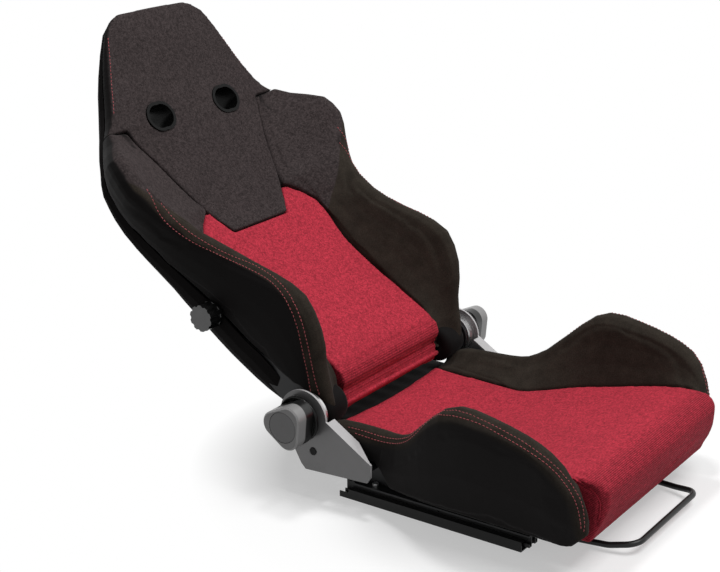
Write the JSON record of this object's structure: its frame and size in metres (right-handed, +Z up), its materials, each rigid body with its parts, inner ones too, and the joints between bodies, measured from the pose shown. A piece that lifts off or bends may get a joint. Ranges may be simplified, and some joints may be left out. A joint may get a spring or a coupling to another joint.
{
  "type": "racing seat",
  "caption": "Reclining bucket-style racing seat with side bolsters, harness openings, side knobs and floor slider rails.",
  "frame": {"origin": "on the floor, at the centre of the four bolt holes of the lower rails", "axes": "+Z up, the seat faces -Y, +X to the occupant's left"},
  "size_m": [0.618, 1.075, 0.7391],
  "materials": {
    "rail_black": "gloss black",
    "frame_steel": "satin black",
    "bracket_grey": "fine textured dark grey",
    "bare_steel": "plain",
    "knob_grey": "satin dark grey",
    "bezel_black": "satin black",
    "knob_black": "gloss black with a grey face",
    "slot_gloss": "gloss black",
    "shell_black": "grained black",
    "cloth_red": "crimson knitted cloth",
    "cloth_black": "brownish black knitted cloth"
  },
  "bodies": {
    "rails": {"lower_rail_right": "rail_black", "lower_rail_left": "rail_black"},
    "roller_cages": {"roller_cage_right": "bare_steel", "roller_cage_left": "bare_steel", "rail_rollers": "bare_steel", "rail_balls": "bare_steel"},
    "seat_base": {"upper_rail_right": "rail_black", "upper_rail_left": "rail_black", "side_plate_right": "frame_steel", "side_plate_left": "frame_steel", "front_cross_tube": "frame_steel", "rear_cross_tube": "frame_steel", "seat_pan": "frame_steel", "base_cushion": "cloth_red", "base_bolster_right": "cloth_black", "base_bolster_left": "cloth_black", "recline_bracket_right": "bracket_grey", "recline_bracket_left": "bracket_grey", "recliner_base_disc_right": "bare_steel", "recliner_base_disc_left": "bare_steel", "recliner_bezel_right": "bezel_black", "recliner_bezel_left": "bezel_black", "lever_pins": "bare_steel", "base_bolts": "bare_steel"},
    "slide_lever": {"slide_bar": "rail_black", "latch_arm_right": "rail_black", "latch_arm_left": "rail_black"},
    "recline_shaft": {"recline_knob_right": "knob_grey", "recline_knob_left": "knob_grey", "recline_cap_right": "knob_grey", "recline_cap_left": "knob_grey", "sync_rod": "bare_steel"},
    "backrest": {"recliner_arm_disc_right": "bare_steel", "recliner_arm_disc_left": "bare_steel", "back_arm_right": "frame_steel", "back_arm_left": "frame_steel", "back_frame_tube": "frame_steel", "back_cross_tube": "frame_steel", "lumbar_carrier": "frame_steel", "back_shell": "shell_black", "back_centre": "cloth_black", "back_pad": "cloth_red", "back_bolster_right": "cloth_black", "back_bolster_left": "cloth_black", "harness_sleeve_right": "slot_gloss", "harness_sleeve_left": "slot_gloss"},
    "lumbar_shaft": {"lumbar_knob": "knob_black", "lumbar_spindle": "bare_steel"},
    "lumbar_support": {"lumbar_plate": "frame_steel"}
  },
  "joints": [
    {"name": "slide", "type": "slide", "parent": "rails", "child": "seat_base", "axis": [0, 1, 0], "range_m": [-0.1, 0.1]},
    {"name": "cage_slide", "type": "slide", "parent": "rails", "child": "roller_cages", "axis": [0, 1, 0], "range_m": [-0.05, 0.05]},
    {"name": "lever_lift", "type": "hinge", "parent": "seat_base", "child": "slide_lever", "pos_m": [0, -0.014, 0.022], "axis": [-1, 0, 0], "range_deg": [0, 5], "stiffness_Nm_per_rad": 5, "springref_deg": -11.46},
    {"name": "recline", "type": "hinge", "parent": "seat_base", "child": "backrest", "pos_m": [0, 0.218, 0.147], "axis": [1, 0, 0], "range_deg": [-30, 28]},
    {"name": "recline_knob_turn", "type": "hinge", "parent": "seat_base", "child": "recline_shaft", "pos_m": [0, 0.218, 0.147], "axis": [1, 0, 0], "range_deg": [-940, 880]},
    {"name": "lumbar_turn", "type": "hinge", "parent": "backrest", "child": "lumbar_shaft", "pos_m": [0, 0.41469, 0.28218], "axis": [1, 0, 0], "range_deg": [0, 180]},
    {"name": "lumbar_push", "type": "slide", "parent": "backrest", "child": "lumbar_support", "axis": [0, -0.7554, 0.6553], "range_m": [0, 0.0091]}
  ],
  "couplings": [
    {"joint": "cage_slide", "follows": "slide", "ratio": 0.5},
    {"joint": "recline_knob_turn", "follows": "recline", "ratio": 31},
    {"joint": "lumbar_push", "follows": "lumbar_turn", "m_per_rad": 0.0028648}
  ]
}
